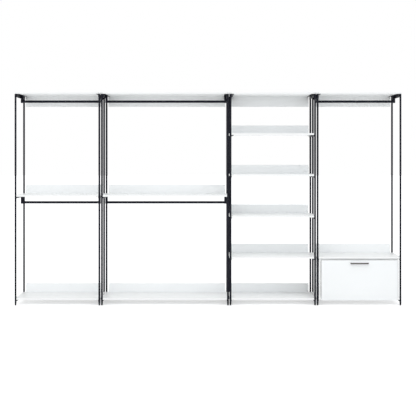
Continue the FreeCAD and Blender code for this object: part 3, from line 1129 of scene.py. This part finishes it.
# Polished bearing steel: a bright mirror with a trace of grease, in smears of 4 mm.
ball_steel, tree = blank_material("polished_bearing_steel")
place = add_node(tree, "TexCoord").outputs["Object"]
grease = add_node(tree, "TexNoise", values={"Scale": 1 / (4 * mm)}, links={"Vector": place})
grease_gloss = add_node(
    tree,
    "MapRange",
    values={"To Min": 0.08, "To Max": 0.22},
    links={"Value": grease.outputs["Fac"]},
)
ball_shader = add_node(
    tree,
    "BsdfPrincipled",
    values={"Base Color": linear("#D2D3D4"), "Metallic": 1.0},
    links={"Roughness": grease_gloss.outputs["Result"]},
)
add_node(tree, "OutputMaterial", links={"Surface": ball_shader.outputs["BSDF"]})

# Points every 20 degrees on a half circle, just short of its ends.
ball_profile = [
    (ball_radius * math.cos(math.radians(turn)), ball_radius * math.sin(math.radians(turn)))
    for turn in range(-80, 81, 20)
]
for node, body in (
    ("runner_outer_ball_cages", "outer_cages"),
    ("runner_inner_ball_cages", "inner_cages"),
):
    low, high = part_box(node)
    pitch = (high.y - low.y - 2 * first_ball) / (balls_in_row - 1)
    strips, spots = [], []
    for across in (low.x, high.x - cage_width):
        for up in (low.z, high.z - cage_height):
            middle = up + cage_height / 2
            strip = rectangle((across, low.y), (across + cage_width, high.y))
            strips.append(
                slab(strip, middle - strip_half, middle + strip_half, rounding=0.15 * mm)
            )
            for step in range(balls_in_row):
                along = low.y + first_ball + step * pitch
                spots.append(Vector((across + cage_width / 2, along, middle)))
    new_piece(body + "_strips", joined(strips), zinc_plate, body, [node])
    balls = repeated(turned(ball_profile, segments=14), spots)
    new_piece(body + "_balls", balls, ball_steel, body)


# Floor, light and camera: a plain white floor and a white room behind it. The camera sees the
# room at full white, and the floor is brought up to the same white where nothing shades it.
floor_half = 60
floor_lift = 0.5


def seen_rays(tree):
    """One where the eye, a reflection or a view through glass looks, and zero elsewhere."""
    rays = add_node(tree, "LightPath").outputs
    looks = rays["Is Camera Ray"]
    for other in ("Is Glossy Ray", "Is Transmission Ray"):
        either = add_node(
            tree, "Math", {"operation": "MAXIMUM"}, links={0: looks, 1: rays[other]}
        )
        looks = either.outputs[0]
    return looks


# White floor paint: matt, with just enough added white to be as pale as the room.
floor_paint, tree = blank_material("pale_floor")
lift = add_node(tree, "Math", {"operation": "MULTIPLY"}, {1: floor_lift}, {0: seen_rays(tree)})
paint = add_node(tree, "BsdfDiffuse", values={"Color": linear("#FBFBFB")})
glow = add_node(tree, "Emission", links={"Strength": lift.outputs[0]})
both = add_node(tree, "AddShader", links={0: paint.outputs[0], 1: glow.outputs[0]})
add_node(tree, "OutputMaterial", links={"Surface": both.outputs[0]})
floor_mesh = bpy.data.meshes.new("floor")
floor_corners = rectangle((-floor_half, -floor_half), (floor_half, floor_half))
floor_mesh.from_pydata([(across, along, 0) for across, along in floor_corners], [], [(0, 1, 2, 3)])
floor_mesh.materials.append(floor_paint)
floor = bpy.data.objects.new("floor", floor_mesh)
bpy.context.scene.collection.objects.link(floor)

room = bpy.data.worlds.new("white_room")
bpy.context.scene.world = room
room.use_nodes = True
tree = room.node_tree
tree.nodes.clear()
ambient = add_node(tree, "Background", values={"Color": linear("#FBFCFC"), "Strength": 0.76})
backdrop = add_node(tree, "Background", values={"Color": linear("#FFFFFF"), "Strength": 1.0})
sky = add_node(
    tree,
    "MixShader",
    links={0: seen_rays(tree), 1: ambient.outputs[0], 2: backdrop.outputs[0]},
)
add_node(tree, "OutputWorld", links={"Surface": sky.outputs[0]})

for name, colour, power, spread, elevation, azimuth in (
    ("key_light", "#FFFFFF", 0.66, 60, 43, -20),
    ("fill_light", "#D8ECFF", 0.4, 80, 6, 20),
):
    lamp = bpy.data.lights.new(name, "SUN")
    lamp.energy = power
    lamp.color = linear(colour)[:3]
    lamp.angle = math.radians(spread)
    light = bpy.data.objects.new(name, lamp)
    light.rotation_euler = (math.radians(90 - elevation), 0, math.radians(azimuth))
    bpy.context.scene.collection.objects.link(light)

eye_height = 1.504
camera_distance = 9.5
field_width = 4.16
field_middle = 0.974
lens_data = bpy.data.cameras.new("camera")
lens_data.lens = lens_data.sensor_width * camera_distance / field_width
lens_data.shift_y = (field_middle - eye_height) / field_width
camera = bpy.data.objects.new("camera", lens_data)
camera.location = (0, front_post_y - camera_distance, eye_height)
camera.rotation_euler = (math.pi / 2, 0, 0)
bpy.context.scene.collection.objects.link(camera)
bpy.context.scene.camera = camera
bpy.context.scene.view_settings.view_transform = "Standard"
